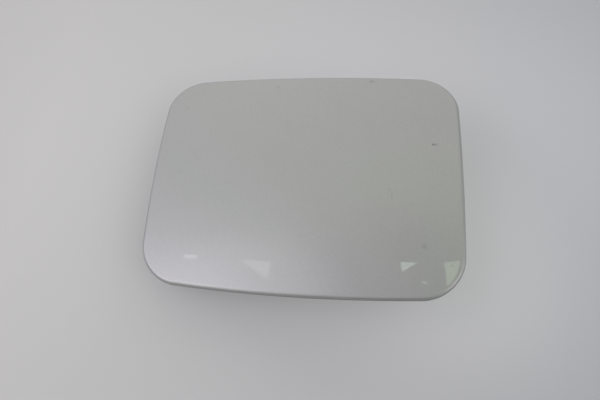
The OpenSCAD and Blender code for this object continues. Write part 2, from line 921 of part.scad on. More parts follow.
// A clip pushed into the pin's groove from one side
module pin_clip() {
    inner = pin_r - groove_depth + press_fit;
    color("dimgray")
        translate([pin_reach, 0, pin_h])
            along_y(head_y + side_gap / 4)
                linear_extrude(clip_t)
                    difference() {
                        circle(r = pin_r + clip_rim);
                        circle(r = inner);
                        translate([0, -pin_r, 0])
                            square([2 * inner * 0.8, 2 * pin_r], center = true);
                        for (a = [20, 160])
                            rotate(a)
                                translate([pin_r + 0.4, 0])
                                    circle(r = 1);
                    }
}

module spring_sleeve() {
    length = bracket_w - 2 * bracket_t - side_gap;
    color("ivory")
        translate([pin_reach, 0, pin_h])
            along_y(-length / 2)
                difference() {
                    cylinder(r = pin_r + run_fit + sleeve_wall, h = length);
                    translate([0, 0, -1])
                        cylinder(r = pin_r + run_fit, h = length + 2);
                }
}

// A point of the closed door's frame, in X and Z from the pin
function from_door(x, z) =
    [x * cos(closed_tilt) - z * sin(closed_tilt), x * sin(closed_tilt) + z * cos(closed_tilt)];

// Where the spring's legs bear, in X and Z from the pin: on the base and under the arm's lip
base_bearing = [base_leg, bracket_t + wire_d / 2 + seat_gap - pin_h];
lip_bearing_z = web_under - wire_d / 2 - seat_gap;
lip_bearing = from_door(lip_leg, lip_bearing_z);

// Angles at which the two legs leave the coil, which winds up as the door opens
coil_from = atan2(base_bearing.y, base_bearing.x) - acos(coil_r / norm(base_bearing));
coil_to = atan2(lip_bearing.y, lip_bearing.x) + acos(coil_r / norm(lip_bearing)) - 360 * coil_turns;

// Centre line of the wire: bent end, leg, coil, leg and bent end
function spring_line() =
    let (
        turn = coil_to - coil_from,
        count = round(abs(turn) / 360 * coil_steps),
        length = abs(turn) / 360 * coil_pitch,
        tip = from_door(lip_leg + leg_foot, lip_bearing_z)
    )
    concat(
        [
            [base_bearing.x + leg_foot, -length / 2, base_bearing.y],
            [base_bearing.x, -length / 2, base_bearing.y]
        ],
        [
            for (i = [0:count])
            let (a = coil_from + turn * i / count)
            [coil_r * cos(a), length * (i / count - 0.5), coil_r * sin(a)]
        ],
        [[lip_bearing.x, length / 2, lip_bearing.y], [tip.x, length / 2, tip.y]]
    );

// Ring of the wire round one point of its centre line
function wire_ring(line, k) =
    let (
        last = len(line) - 1,
        ahead = unit(line[min(k + 1, last)] - line[max(k - 1, 0)]),
        side = unit(cross(ahead, [0, 1, 0])),
        up = cross(side, ahead)
    )
    [
        for (j = [0:wire_sides - 1])
        let (a = -360 * j / wire_sides)
        line[k] + wire_d / 2 * (side * cos(a) + up * sin(a))
    ];

module torsion_spring() {
    line = spring_line();
    color("gray")
        translate([pin_reach, 0, pin_h])
            loft(line[0], [for (k = [0:len(line) - 1]) wire_ring(line, k)], line[len(line) - 1]);
}

// Rubber cap pushed over the end of the stop tab
module stop_buffer() {
    high = buffer_t + buffer_grip;
    section = [bracket_t + 2 * (buffer_wall + seat_gap), stop_w + 2 * (buffer_wall + seat_gap)];
    outline = rounded_box(-section / 2, section / 2, 1.5);
    color("dimgray")
        difference() {
            translate([stop_x, 0, buffer_top - high])
                linear_extrude(high)
                    polygon(outline);
            translate([stop_x - bracket_t / 2 - seat_gap, -stop_w / 2 - seat_gap, buffer_top - high - 1])
                cube([bracket_t + 2 * seat_gap, stop_w + 2 * seat_gap, high - buffer_t + 1 + seat_gap]);
        }
}

outer_skin();
inner_panel();
mastic_pads();
hinge_arm();
arm_screws();
weld_nuts();
upper_bush();
lower_bush();
latch_striker();
striker_rivets();
upper_bumper();
lower_bumper();
cap_holder();
holder_rivets();
hinge_bracket();
hinge_pin();
pin_clip();
spring_sleeve();
torsion_spring();
stop_buffer();
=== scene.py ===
"""A car fuel door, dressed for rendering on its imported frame.

Sizes are in millimetres until they are placed, and angles in degrees until they are used.
"""

import json
import math

import bpy
import numpy as np
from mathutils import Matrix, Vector

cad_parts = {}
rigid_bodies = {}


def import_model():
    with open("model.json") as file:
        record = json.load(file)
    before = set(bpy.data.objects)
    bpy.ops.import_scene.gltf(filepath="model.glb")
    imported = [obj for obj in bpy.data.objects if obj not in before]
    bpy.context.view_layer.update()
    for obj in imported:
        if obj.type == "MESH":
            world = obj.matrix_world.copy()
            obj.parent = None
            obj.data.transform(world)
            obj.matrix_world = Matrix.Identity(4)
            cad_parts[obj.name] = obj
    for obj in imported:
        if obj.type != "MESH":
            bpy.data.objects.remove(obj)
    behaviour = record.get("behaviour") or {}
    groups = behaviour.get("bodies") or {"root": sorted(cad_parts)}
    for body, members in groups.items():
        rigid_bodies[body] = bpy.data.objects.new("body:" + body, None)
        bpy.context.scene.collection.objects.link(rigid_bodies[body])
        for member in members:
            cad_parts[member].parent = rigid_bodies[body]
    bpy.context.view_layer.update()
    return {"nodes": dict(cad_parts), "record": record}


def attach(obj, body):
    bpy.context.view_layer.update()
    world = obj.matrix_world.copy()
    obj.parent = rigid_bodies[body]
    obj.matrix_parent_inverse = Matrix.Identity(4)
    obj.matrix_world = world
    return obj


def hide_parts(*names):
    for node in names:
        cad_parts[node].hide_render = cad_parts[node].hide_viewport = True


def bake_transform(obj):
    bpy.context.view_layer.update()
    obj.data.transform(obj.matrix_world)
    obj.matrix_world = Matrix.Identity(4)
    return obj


for start_up_object in list(bpy.data.objects):
    bpy.data.objects.remove(start_up_object)
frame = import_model()

MM = 0.001

# Sizes of the sheets, as in the part's source
DOOR_W, DOOR_H, CORNER_R = 165.0, 122.0, 20.0
END_BOW, UPPER_BOW, LOWER_BOW = 1.2, 2.8, 4.3
END_SLOPE = math.tan(math.radians(2.2))
CROWN_LONG_R, CROWN_HIGH_R = 2500.0, 750.0
SKIN_T, ROLL_W, FOLD_R, HEM_CLOSE, HEM_W = 0.8, 1.9, 1.9, 4.4, 7.0
INNER_T, FLANGE_INSET, RIM_W, STEP_W = 0.7, 2.6, 10.0, 5.0
HEM_GAP = 0.1
EDGE_T = 2 * SKIN_T + INNER_T + 2 * HEM_GAP
RIM_TOP = -SKIN_T - HEM_GAP
CHANNEL_DEPTH, ISLAND_DEPTH = 8.5, 5.0
ISLAND_W, ISLAND_H, ISLAND_R, ISLAND_STEP, ISLAND_SHIFT = 80.0, 64.0, 18.0, 4.0, 10.0

# Hinge and striker, as in the part's source
PIN_REACH, PIN_H, PIN_R = 34.0, 26.0, 3.0
PIN_DEPTH, PIN_INSET = 21.0, 14.4
STRIKER_INSET, STRIKER_DROP = 18.2, 2.5
ARM_T, WEB_LEN, BRACKET_T = 1.6, 32.0, 2.0
MIDDLE_X = PIN_INSET - DOOR_W / 2 - END_BOW
TAB_X = PIN_INSET - DOOR_W - 2 * END_BOW + STRIKER_INSET
CLOSED_TILT = math.asin(PIN_H / math.hypot(TAB_X, STRIKER_DROP)) - math.atan2(STRIKER_DROP, -TAB_X)

# Screws, rivets, bumpers and drain holes of the inner panel, as in the part's source
SCREW_R, SCREW_EDGE, SCREW_ROW, SCREW_PITCH = 2.5, 5.0, 10.0, 26.0
RIVET_R, RIVET_BACK, RIVET_PITCH, HOLDER_PITCH = 2.0, 8.0, 15.0, 50.0
NECK_R, BUMPER_INSET, BUMPER_SIDE = 3.0, 24.0, 23.0
DRAIN_R, DRAIN_X = 3.0, 28.0

# Spring, as in the part's source
WIRE_D, COIL_TURNS, COIL_GAP, SLEEVE_WALL = 1.4, 5, 0.2, 1.2
BASE_LEG, LIP_LEG, LEG_FOOT = 1.0, 3.5, 3.5

# Clearances, as in the part's source
SEAT_GAP, RUN_FIT, PRESS_FIT, SIDE_GAP, HOLE_GAP = 0.05, 0.05, 0.02, 0.2, 0.25


# Places


def from_door(points):
    """Points of the closed door's frame, measured from the pin, in the row frame and in metres."""
    p = np.asarray(points, float)
    c, s = math.cos(CLOSED_TILT), math.sin(CLOSED_TILT)
    x, y, z = p[..., 0], p[..., 1], p[..., 2]
    return np.stack([PIN_REACH + x * c - z * s, y, PIN_H + x * s + z * c], -1) * MM


def from_panel(points):
    """Points measured from the middle of the outer face, in the row frame and in metres."""
    return from_door(np.asarray(points, float) + np.array([MIDDLE_X, 0.0, PIN_DEPTH]))


def crown(p):
    """Height of the crowned outer face over its middle."""
    return -p[..., 0] ** 2 / (2 * CROWN_LONG_R) - p[..., 1] ** 2 / (2 * CROWN_HIGH_R)


def bowed(p):
    """Points of a plain box, bent as the door's outline is, with bowed sides and leaning ends."""
    fx, fy = 2 * p[..., 0] / DOOR_W, 2 * p[..., 1] / DOOR_H
    y = p[..., 1] + np.where(fy > 0, UPPER_BOW, LOWER_BOW) * fy * (1 - fx**2)
    x = p[..., 0] + END_BOW * fx * (1 - fy**2) - y * END_SLOPE
    return np.stack([x, y], -1)


def with_z(p, z):
    """Flat points with a height, which may be one number."""
    return np.concatenate([p, np.broadcast_to(np.asarray(z, float), p.shape[:-1])[..., None]], -1)


# Mesh building

# Edges sharper than this stay sharp on a new piece
SHARP_ANGLE = 35


class Counts:
    """How many steps a rounded box's ring has: on half a corner, along X and along Y."""

    def __init__(self, corner, along_x, along_y):
        self.corner, self.along_x, self.along_y = corner, along_x, along_y
        self.m = 2 * corner + along_x
        self.n = 2 * corner + along_y


def box_ring(w, h, r, c):
    """A rounded box, counterclockwise from the middle of its first corner."""
    points = []
    for k in range(4):
        sx, sy = (1 if k in (0, 3) else -1), (1 if k < 2 else -1)
        centre = np.array([sx * (w / 2 - r), sy * (h / 2 - r)])
        a = np.radians(90 * k + np.linspace(0, 90, 2 * c.corner + 1))
        points.append(centre + r * np.stack([np.cos(a), np.sin(a)], -1))
    ring = []
    for k in range(4):
        after = points[(k + 1) % 4]
        steps = c.along_x if k % 2 == 0 else c.along_y
        t = np.linspace(0, 1, steps + 1)[1:-1, None]
        ring += [points[k][c.corner:], points[k][-1] * (1 - t) + after[0] * t, after[: c.corner]]
    return np.concatenate(ring)


def box_grid(a, b, c):
    """A grid over a plain box of half sides a and b, whose edge runs as box_ring does."""
    x = np.linspace(a, -a, c.m + 1)
    y = np.linspace(b, -b, c.n + 1)
    return np.stack(np.meshgrid(x, y, indexing="ij"), -1)


def grid_edge(grid):
    """The edge of a grid as one ring, in box_ring's order."""
    return np.concatenate([grid[:-1, 0], grid[-1, :-1], grid[:0:-1, -1], grid[0, :0:-1]])


def circle(step):
    """Angles round a circle, in radians."""
    return np.radians(np.arange(0, 360, step))


def between(a, b, steps):
    """Rings on the way from a to b, the first of which is left out."""
    return [a * (1 - t) + b * t for t in np.linspace(0, 1, steps + 1)[1:]]


class Sheet:
    """A mesh put together from grids and rings."""

    def __init__(self):
        self.points, self.faces, self.count = [], [], 0

    def add(self, points):
        flat = points.reshape(-1, 3)
        index = np.arange(self.count, self.count + len(flat)).reshape(points.shape[:-1])
        self.points.append(flat)
        self.count += len(flat)
        return index

    def grid(self, points, flip=False):
        g = self.add(points)
        quads = np.stack([g[:-1, :-1], g[1:, :-1], g[1:, 1:], g[:-1, 1:]], -1).reshape(-1, 4)
        self.faces.append(quads[:, ::-1] if flip else quads)
        return g

    def bridge(self, inner, outer):
        quads = np.stack([inner, outer, np.roll(outer, -1), np.roll(inner, -1)], -1)
        self.faces.append(quads)

    def loft(self, loop, rings):
        """Goes on from a ring that is already there through new ones, and returns the last."""
        for ring in rings:
            new = self.add(ring)
            self.bridge(loop, new)
            loop = new
        return loop

    def tube(self, rings):
        """A closed tube through rings of points, with flat ends."""
        first = self.add(rings[0])
        self.faces.append(first[None, ::-1])
        last = self.loft(first, rings[1:])
        self.faces.append(last[None])

    def mesh(self, name, place):
        made = bpy.data.meshes.new(name)
        faces = [face for block in self.faces for face in block.tolist()]
        made.from_pydata(place(np.concatenate(self.points)).tolist(), [], faces)
        made.validate()
        return made


def piece(name, mesh, material, body, *nodes):
    """A new piece from a mesh, smooth but for its sharp edges."""
    mesh.shade_smooth()
    mesh.set_sharp_from_angle(angle=math.radians(SHARP_ANGLE))
    mesh.materials.append(material)
    obj = bpy.data.objects.new(name, mesh)
    bpy.context.scene.collection.objects.link(obj)
    if nodes:
        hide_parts(*nodes)
    if body:
        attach(obj, body)
    return obj


# Materials


def grey(value, tint=(1, 1, 1)):
    return (value * tint[0], value * tint[1], value * tint[2], 1)


class Nodes:
    """An emptied node tree with short ways to add the nodes that this scene uses."""

    def __init__(self, tree):
        self.tree = tree
        self.tree.nodes.clear()

    def node(self, kind, **props):
        made = self.tree.nodes.new(kind)
        for key, value in props.items():
            setattr(made, key, value)
        return made

    def put(self, socket, value):
        if isinstance(value, bpy.types.NodeSocket):
            self.tree.links.new(value, socket)
        else:
            socket.default_value = value

    def chain(self, kind, values, output=0, **props):
        """Adds a node, fills its first inputs, and returns one of its outputs."""
        made = self.node(kind, **props)
        for socket, value in zip(made.inputs, values):
            self.put(socket, value)
        return made.outputs[output]

    def maths(self, operation, *values):
        return self.chain("ShaderNodeMath", values, operation=operation)

    def vectors(self, operation, *values, output="Vector"):
        return self.chain("ShaderNodeVectorMath", values, output, operation=operation)

    def span(self, value, low, high, to_low=0.0, to_high=1.0, smooth=True):
        """Takes a value between low and high to one between to_low and to_high."""
        values = (value, low, high, to_low, to_high)
        kind = "SMOOTHSTEP" if smooth else "LINEAR"
        return self.chain("ShaderNodeMapRange", values, interpolation_type=kind)

    def mix(self, share, a, b):
        made = self.node("ShaderNodeMix", data_type="RGBA")
        self.put(made.inputs["Factor"], share)
        self.put(made.inputs[6], a)
        self.put(made.inputs[7], b)
        return made.outputs[2]

    def finish(self, kind, shader):
        """Adds the output node, which takes the shader."""
        self.put(self.node(kind).inputs[0], shader)


class Shader(Nodes):
    """A Principled material, whose patterns lie in the object's own space."""

    def __init__(self, name, **numbers):
        self.material = bpy.data.materials.new(name)
        self.material.use_nodes = True
        super().__init__(self.material.node_tree)
        self.principled = self.node("ShaderNodeBsdfPrincipled")
        self.finish("ShaderNodeOutputMaterial", self.principled.outputs[0])
        self.place = self.node("ShaderNodeTexCoord").outputs["Object"]
        for key, value in numbers.items():
            self.set(key.replace("_", " "), value)

    def set(self, name, value):
        self.put(self.principled.inputs[name], value)

    def texture(self, kind, size_mm, output, **numbers):
        made = self.node(kind)
        self.put(made.inputs["Vector"], self.place)
        made.inputs["Scale"].default_value = 1 / (size_mm * MM)
        for key, value in numbers.items():
            made.inputs[key].default_value = value
        return made.outputs[output]

    def noise(self, size_mm, detail=2.0, rough=0.5):
        """Noise between 0 and 1 whose lumps are about as wide as said."""
        return self.texture("ShaderNodeTexNoise", size_mm, "Fac", Detail=detail, Roughness=rough)

    def cells(self, size_mm):
        """Three random numbers for each cell, which is about as wide as said."""
        colour = self.texture("ShaderNodeTexVoronoi", size_mm, "Color")
        split = self.node("ShaderNodeSeparateColor")
        self.put(split.inputs[0], colour)
        return split.outputs

    def bump(self, height, depth_mm):
        made = self.node("ShaderNodeBump")
        made.inputs["Strength"].default_value = 1.0
        made.inputs["Distance"].default_value = depth_mm * MM
        self.put(made.inputs["Height"], height)
        return made.outputs[0]

    def ellipse(self, middle, turn, size):
        """How far a place lies from the middle of an ellipse, given in metres: 1 on its edge."""
        mapping = self.node("ShaderNodeMapping", vector_type="TEXTURE")
        self.put(mapping.inputs["Vector"], self.place)
        mapping.inputs["Location"].default_value = middle
        mapping.inputs["Rotation"].default_value = turn
        mapping.inputs["Scale"].default_value = size
        return self.vectors("LENGTH", mapping.outputs[0], output="Value")

    def floor_ellipse(self, at, turn, size):
        """The same for an ellipse on the floor, given in millimetres."""
        size = (size[0] * MM, size[1] * MM, 1)
        return self.ellipse((at[0] * MM, at[1] * MM, 0), (0, 0, math.radians(turn)), size)

    def spot(self, at, size, turn, ragged, ragged_size, soft):
        """1 within an ellipse on the closed door's outer face, 0 outside, with a ragged edge."""
        middle = from_panel(np.array([*at, crown(np.array(at, float))])).tolist()
        size = (size[0] * MM, size[1] * MM, max(size) * MM)
        away = self.ellipse(middle, (0, -CLOSED_TILT, math.radians(turn)), size)
        lumps = self.maths("SUBTRACT", self.noise(ragged_size), 0.5)
        edge = self.maths("ADD", away, self.maths("MULTIPLY", lumps, 2 * ragged))
        return self.span(edge, 1 - soft / 2, 1 + soft / 2, 1.0, 0.0)


# Marks in the paint, each laid over those before it: place and size on the outer face, turn, how
# ragged the edge is, size of the edge's lumps, softness of the edge, share, and tone
PALE, DARK, PRIMER = grey(0.5), grey(0.10), grey(0.07, (1.0, 0.98, 0.95))
MARKS = {
    "scuff": ((69.2, 18.6), (2.6, 1.5), -40, 0.6, 1.4, 1.0, 0.12, PALE),
    "knock": ((34.2, 59.8), (1.3, 0.65), 0, 0.3, 0.6, 0.9, 0.30, DARK),
    "faint": ((-19.2, 56.8), (0.9, 0.9), 0, 0.4, 0.6, 1.0, 0.14, DARK),
    "blot": ((-10.3, 30.4), (2.4, 2.4), 0, 0.4, 1.5, 1.2, 0.04, DARK),
    "scratch_upper": ((47.3, -7.6), (0.35, 1.2), 12, 0.3, 0.6, 0.8, 0.13, DARK),
    "scratch_lower": ((48.7, -11.6), (0.5, 2.1), 4, 0.3, 0.6, 1.0, 0.11, DARK),
    "nick": ((65.3, -37.0), (1.2, 1.3), 20, 0.45, 0.9, 1.1, 0.17, DARK),
    "speck": ((78.2, -45.6), (1.0, 0.8), 0, 0.3, 0.6, 1.1, 0.18, DARK),
    "edge_chip": ((-72.4, 42.9), (0.7, 0.6), 40, 0.5, 0.6, 0.6, 0.15, DARK),
    "chip_tail": ((69.5, 18.75), (1.5, 0.75), 0, 0.3, 0.6, 1.2, 0.30, DARK),
    "chip": ((68.4, 18.8), (0.6, 0.55), 0, 0.3, 0.5, 0.8, 0.50, PRIMER),
}

# Painted shade low on the rolled edge, where it leans down and away from the outer face: the
# cosines of its lean at which the painted shade is full and gone, its tone and share, and how much
# of the clear coat it dulls
EDGE_SHADE_FULL, EDGE_SHADE_GONE, EDGE_SHADE_TONE, EDGE_SHADE_SHARE, EDGE_SHADE_DULL = 0.05, 0.75, grey(0.12), 0.45, 0.6

# How much of the clear coat the knock in the edge has taken
KNOCK_WORN = 0.5


def make_body_paint():
    """Silver metallic under clear coat, with its marks, and painted shade low on its rolled edge.
    """
    s = Shader(
        "body_paint", Metallic=0.75, Roughness=0.42,
        Coat_Weight=1.0, Coat_Roughness=0.025, Coat_IOR=1.5,
    )
    flakes = s.cells(0.16)
    colour = s.mix(flakes[0], grey(0.370, (1.0, 1.005, 1.0)), grey(0.450, (1.0, 1.005, 1.0)))
    cloud = s.span(s.noise(22), 0.3, 0.7, 0.0, 0.08)
    colour = s.mix(cloud, colour, grey(0.475))
    spots = {}
    for name, (*form, share, tone) in MARKS.items():
        spots[name] = s.spot(*form)
        colour = s.mix(s.maths("MULTIPLY", spots[name], share), colour, tone)
    normal = s.node("ShaderNodeTexCoord").outputs["Normal"]
    outwards = (-math.sin(CLOSED_TILT), 0, math.cos(CLOSED_TILT))
    upright = s.vectors("DOT_PRODUCT", normal, outwards, output="Value")
    # Painted shade: the rolled edge darkens and loses clear coat where it leans down from the outer
    # face
    edge_shade = s.span(upright, EDGE_SHADE_FULL, EDGE_SHADE_GONE, 1.0, 0.0)
    s.set("Base Color", s.mix(s.maths("MULTIPLY", edge_shade, EDGE_SHADE_SHARE), colour, EDGE_SHADE_TONE))
    worn = s.maths("MAXIMUM", spots["chip"], s.maths("MULTIPLY", spots["knock"], KNOCK_WORN))
    # The clear coat is gone at the chip and the knock, which is wear, and dulled on the rolled
    # edge, which is painted shade
    bare_or_shaded = s.maths("MAXIMUM", worn, s.maths("MULTIPLY", edge_shade, EDGE_SHADE_DULL))
    s.set("Coat Weight", s.maths("SUBTRACT", 1.0, bare_or_shaded))
    s.set("Normal", s.bump(flakes[1], 0.004))
    peel = s.maths("MULTIPLY", s.noise(1.8), 0.02)
    dent = s.maths("SUBTRACT", peel, s.maths("MULTIPLY", worn, 0.5))
    s.set("Coat Normal", s.bump(dent, 0.05))
    return s.material


def make_inner_paint():
    """Silver paint in a thin coat, with mist and dust."""
    s = Shader("inner_paint", Metallic=0.6, Roughness=0.5, Coat_Weight=0.35, Coat_Roughness=0.18)
    silver = s.mix(s.cells(0.18)[0], grey(0.29), grey(0.35))
    mist = s.span(s.noise(16, detail=4, rough=0.6), 0.38, 0.68)
    silver = s.mix(s.maths("MULTIPLY", mist, 0.35), silver, grey(0.25, (1.0, 1.0, 0.98)))
    dust = s.span(s.noise(3.5, detail=6, rough=0.65), 0.5, 0.75)
    silver = s.mix(s.maths("MULTIPLY", dust, 0.22), silver, grey(0.36, (1.0, 0.95, 0.86)))
    s.set("Base Color", silver)
    s.set("Roughness", s.span(s.noise(9, detail=4), 0.3, 0.75, 0.4, 0.62))
    s.set("Normal", s.bump(s.noise(1.4, detail=3), 0.02))
    return s.material


def make_metal(name, value, tint, rough, stain):
    """Bare or plated steel with bloom and dull stains."""
    s = Shader(name, Metallic=1.0, Roughness=rough)
    bloom = s.span(s.noise(7, detail=5, rough=0.6), 0.35, 0.7)
    colour = s.mix(bloom, grey(value, tint), grey(value * 0.78, (1.0, 1.0, 0.99)))
    dull = s.span(s.noise(2.2, detail=6, rough=0.7), 0.55, 0.8)
    colour = s.mix(s.maths("MULTIPLY", dull, stain), colour, grey(0.24, (1.0, 0.86, 0.68)))
    s.set("Base Color", colour)
    s.set("Roughness", s.span(s.noise(4, detail=4), 0.3, 0.75, rough - 0.08, rough + 0.14))
    s.set("Normal", s.bump(s.noise(0.5, detail=3), 0.008))
    return s.material


def make_moulded(name, value, tint, rough, grain_mm, depth_mm, dust):
    """Plastic or rubber with a fine grain and a film of dust."""
    s = Shader(name, Roughness=rough)
    shade = s.span(s.noise(12, detail=3), 0.3, 0.7)
    colour = s.mix(shade, grey(value, tint), grey(value * 0.85, tint))
    film = s.span(s.noise(2.6, detail=6, rough=0.65), 0.5, 0.8)
    colour = s.mix(s.maths("MULTIPLY", film, dust), colour, grey(0.2, (1.0, 0.95, 0.87)))
    s.set("Base Color", colour)
    s.set("Roughness", s.span(s.noise(5, detail=3), 0.3, 0.7, rough - 0.05, rough + 0.1))
    s.set("Normal", s.bump(s.noise(grain_mm), depth_mm))
    return s.material


# Name, grey, tint, roughness, and share of dull stains
METALS = [
    ("zinc_steel", 0.56, (1.0, 1.0, 0.97), 0.4, 0.3),
    ("pin_steel", 0.62, (1.0, 1.0, 0.99), 0.28, 0.1),
    ("rivet_steel", 0.47, (1.0, 1.0, 1.0), 0.36, 0.2),
    ("spring_steel", 0.28, (1.0, 1.0, 1.06), 0.32, 0.25),
]

# Name, grey, tint, roughness, size and depth of the grain, and share of dust
MOULDED = [
    ("nylon", 0.7, (1.0, 0.97, 0.87), 0.42, 0.8, 0.01, 0.12),
    ("black_plastic", 0.036, (1.0, 1.0, 1.03), 0.45, 0.25, 0.02, 0.08),
    ("rubber", 0.03, (1.0, 1.0, 1.0), 0.62, 0.4, 0.02, 0.14),
    ("mastic", 0.08, (1.0, 1.0, 1.0), 0.7, 1.6, 0.12, 0.05),
]

MATERIALS = {"body_paint": make_body_paint(), "inner_paint": make_inner_paint()}
MATERIALS |= {row[0]: make_metal(*row) for row in METALS}
MATERIALS |= {row[0]: make_moulded(*row) for row in MOULDED}


# The two sheets of the door

# Steps of each sheet's rings, and half sides of the grid in its middle, as shares of the whole
# face and of the raised middle
FACE_COUNTS, FACE_GRID = Counts(12, 62, 42), (0.44, 0.42)
PANEL_COUNTS, PANEL_GRID = Counts(8, 44, 30), (0.36, 0.34)

# Steps from the skin's grid to its rolled edge
FACE_STEPS = 9

# End of the hem: distance in from the outline, and height over the hem's lower face
HEM_END = [
    (5.5, 0), (HEM_W - 0.3, 0), (HEM_W - 0.09, 0.07), (HEM_W, 0.25),
    (HEM_W, SKIN_T - 0.1), (HEM_W - 0.1, SKIN_T),
]

# Distances in from the outline of the rings on the inner panel's rim
RIM_INSETS = (8.5, 7.0, 5.0, FLANGE_INSET)

# Heights between which the inner panel is drilled, and degrees between a drill's sides
DRILL_TOP, DRILL_END, DRILL_STEP = -1.5, -12.0, 7.5


def ease(t):
    return t * t * (3 - 2 * t)


def door_ring(inset, c):
    return bowed(box_ring(DOOR_W - 2 * inset, DOOR_H - 2 * inset, CORNER_R - inset, c))


def on_crown(p, depth):
    return with_z(p, crown(p) + depth)


def face_grid(c, depth):
    """A crowned face as a grid with rings round it, out to the edge's roll."""
    grid = box_grid(FACE_GRID[0] * DOOR_W, FACE_GRID[1] * DOOR_H, c)
    rim = box_ring(DOOR_W - 2 * ROLL_W, DOOR_H - 2 * ROLL_W, CORNER_R - ROLL_W, c)
    rings = between(grid_edge(grid), rim, FACE_STEPS)[:-1]
    return on_crown(bowed(grid), depth), [on_crown(bowed(p), depth) for p in rings]


def arc_rings(c, angles, place):
    """Rings round the face, of which place gives inset and depth from an angle's cos and sin."""
    places = [place(math.cos(a), math.sin(a)) for a in np.radians(angles)]
    return [on_crown(door_ring(inset, c), depth) for inset, depth in places]


def hem_rings(c, up, steps):
    """Rings of the hem from its fold, at step 0, to where it closes on the panel, at step 1."""
    bulge = 2 * FOLD_R - EDGE_T
    rings = []
    for t in steps:
        inset, depth = FOLD_R + (HEM_CLOSE - FOLD_R) * t, up - 2 * FOLD_R + bulge * ease(t)
        rings.append(on_crown(door_ring(inset, c), depth))
    return rings


def make_skin():
    """The outer skin: crowned face, rolled edge, fold and hem, and the same way back inside."""
    c = FACE_COUNTS
    inside_r = FOLD_R - SKIN_T
    grid, rings = face_grid(c, 0)
    rings += arc_rings(
        c, np.linspace(0, 90, 15),
        lambda cos, sin: (ROLL_W * (1 - sin), -FOLD_R * (1 - cos)),
    )
    rings += arc_rings(
        c, np.linspace(0, 90, 11)[1:],
        lambda cos, sin: (FOLD_R * (1 - cos), -FOLD_R * (1 + sin)),
    )
    rings += hem_rings(c, 0, np.linspace(0, 1, 9)[1:])
    rings += [on_crown(door_ring(inset, c), -EDGE_T + up) for inset, up in HEM_END]
    rings += hem_rings(c, SKIN_T, np.linspace(1, 0, 7)[:-1])
    rings += arc_rings(
        c, np.linspace(90, 0, 6)[:-1],
        lambda cos, sin: (FOLD_R - inside_r * cos, -FOLD_R - inside_r * sin),
    )
    rings += arc_rings(
        c, np.linspace(90, 0, 8),
        lambda cos, sin: (ROLL_W - (ROLL_W - SKIN_T) * sin, -FOLD_R + inside_r * cos),
    )
    back, back_rings = face_grid(c, -SKIN_T)
    sheet = Sheet()
    loop = sheet.loft(grid_edge(sheet.grid(grid)), rings + back_rings[::-1])
    sheet.bridge(loop, grid_edge(sheet.grid(back, flip=True)))
    return sheet.mesh("skin_sheet", from_panel)


def island_ring(grow, c):
    ring = box_ring(ISLAND_W + 2 * grow, ISLAND_H + 2 * grow, ISLAND_R + grow, c)
    return ring - [ISLAND_SHIFT, 0]


def inner_face(lower, c):
    """One face of the inner panel: the raised middle as a grid, and rings out to its edge."""
    grid = box_grid(PANEL_GRID[0] * ISLAND_W, PANEL_GRID[1] * ISLAND_H, c) - [ISLAND_SHIFT, 0]
    middle_z, channel_z = -ISLAND_DEPTH - lower, -CHANNEL_DEPTH - lower
    rings = [with_z(ring, middle_z) for ring in between(grid_edge(grid), island_ring(0, c), 5)]
    drop = CHANNEL_DEPTH - ISLAND_DEPTH
    rings += [
        with_z(island_ring(ISLAND_STEP * t, c), -ISLAND_DEPTH - drop * ease(t) - lower)
        for t in np.linspace(0, 1, 10)[1:]
    ]
    foot, far = island_ring(ISLAND_STEP, c), door_ring(RIM_W + STEP_W, c)
    rings += [with_z(ring, channel_z) for ring in between(foot, far, 7)]
    top = on_crown(door_ring(RIM_W, c), RIM_TOP - lower)[:, 2]
    rings += [
        with_z(door_ring(RIM_W + STEP_W * t, c), top * (1 - ease(t)) + channel_z * ease(t))
        for t in np.linspace(1, 0, 12)[1:]
    ]
    rings += [on_crown(door_ring(inset, c), RIM_TOP - lower) for inset in RIM_INSETS]
    return with_z(grid, middle_z), rings


def panel_holes():
    """Holes of the inner panel: place from the middle of the outer face, and radius."""
    first, second = SCREW_EDGE - WEB_LEN, SCREW_EDGE - WEB_LEN + SCREW_ROW
    screws = [(first, 0), (second, SCREW_PITCH / 2), (second, -SCREW_PITCH / 2)]
    rivet_x, drain_xs = TAB_X + RIVET_BACK - MIDDLE_X, (-DRAIN_X, DRAIN_X)
    neck_x, neck_y = BUMPER_INSET - DOOR_W / 2, DOOR_H / 2 - BUMPER_SIDE
    drain_y = (DOOR_H / 2 - RIM_W - STEP_W + ISLAND_H / 2 + ISLAND_STEP) / 2
    sides = (-1, 1)
    holes = [((x - MIDDLE_X, y), SCREW_R + HOLE_GAP) for x, y in screws]
    holes += [((rivet_x, s * RIVET_PITCH / 2), RIVET_R + HOLE_GAP) for s in sides]
    holes += [((s * HOLDER_PITCH / 2 - ISLAND_SHIFT, 0), RIVET_R + HOLE_GAP) for s in sides]
    holes += [((neck_x, s * neck_y), NECK_R + PRESS_FIT) for s in sides]
    holes += [((x - ISLAND_SHIFT, s * drain_y), DRAIN_R) for x in drain_xs for s in sides]
    return holes


